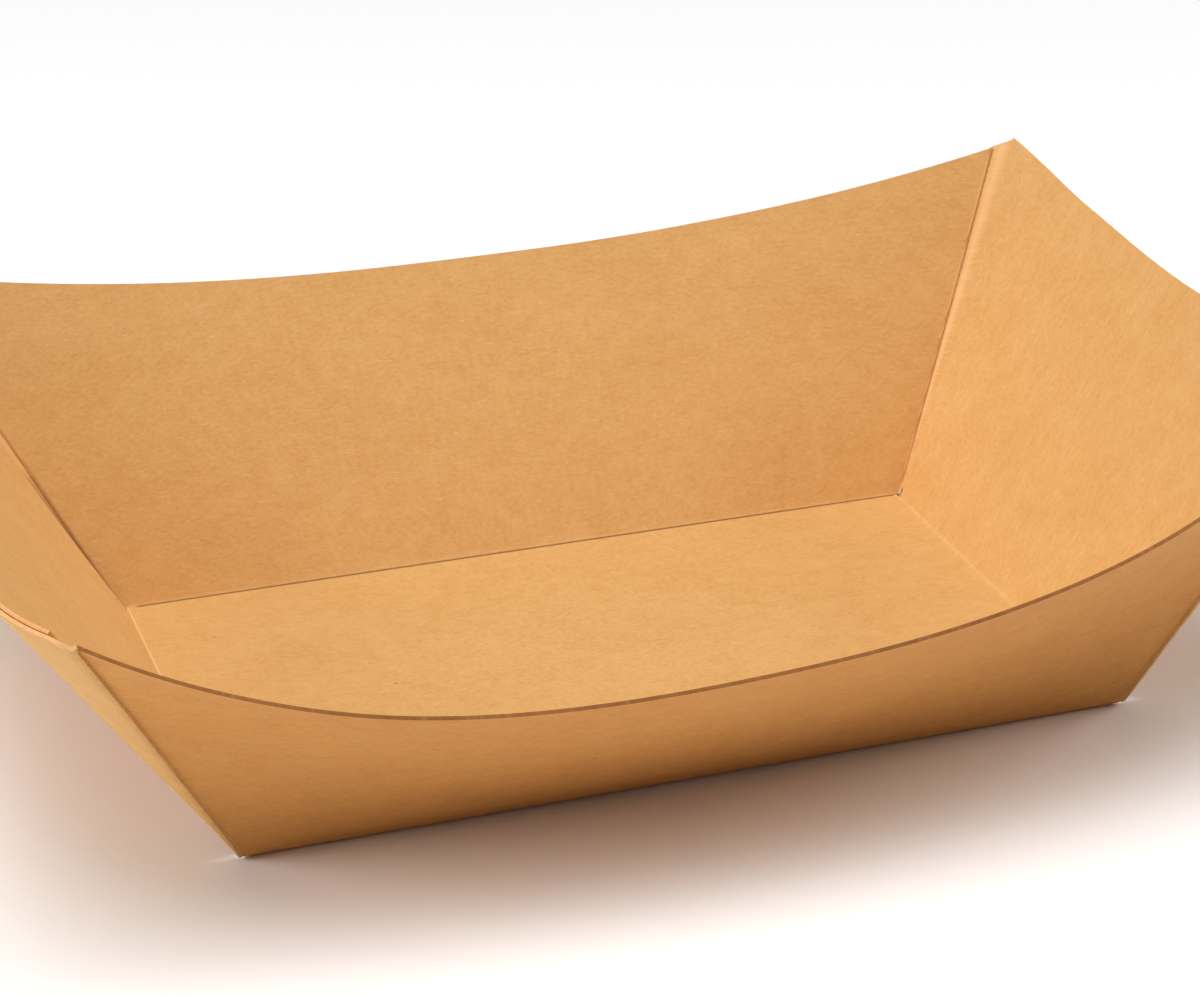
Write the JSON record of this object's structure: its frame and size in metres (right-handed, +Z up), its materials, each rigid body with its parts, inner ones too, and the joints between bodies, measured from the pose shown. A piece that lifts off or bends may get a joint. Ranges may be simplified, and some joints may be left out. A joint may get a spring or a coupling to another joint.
{
  "type": "paper food tray",
  "caption": "Boat-shaped kraft board food tray: flat floor, flared walls with dipped rims, glued flaps at the corners.",
  "frame": {"origin": "on the surface that the tray stands on, under the middle of its outline", "axes": "+X along the tray's length, +Y across it towards the back long wall, +Z up through the open top"},
  "size_m": [0.1734, 0.1226, 0.0499],
  "materials": {
    "kraft_board": "uncoated brown kraft paperboard, matt, with fine fibres and cloudy tone"
  },
  "bodies": {
    "root": {"folded_tray": "kraft_board"}
  },
  "joints": []
}
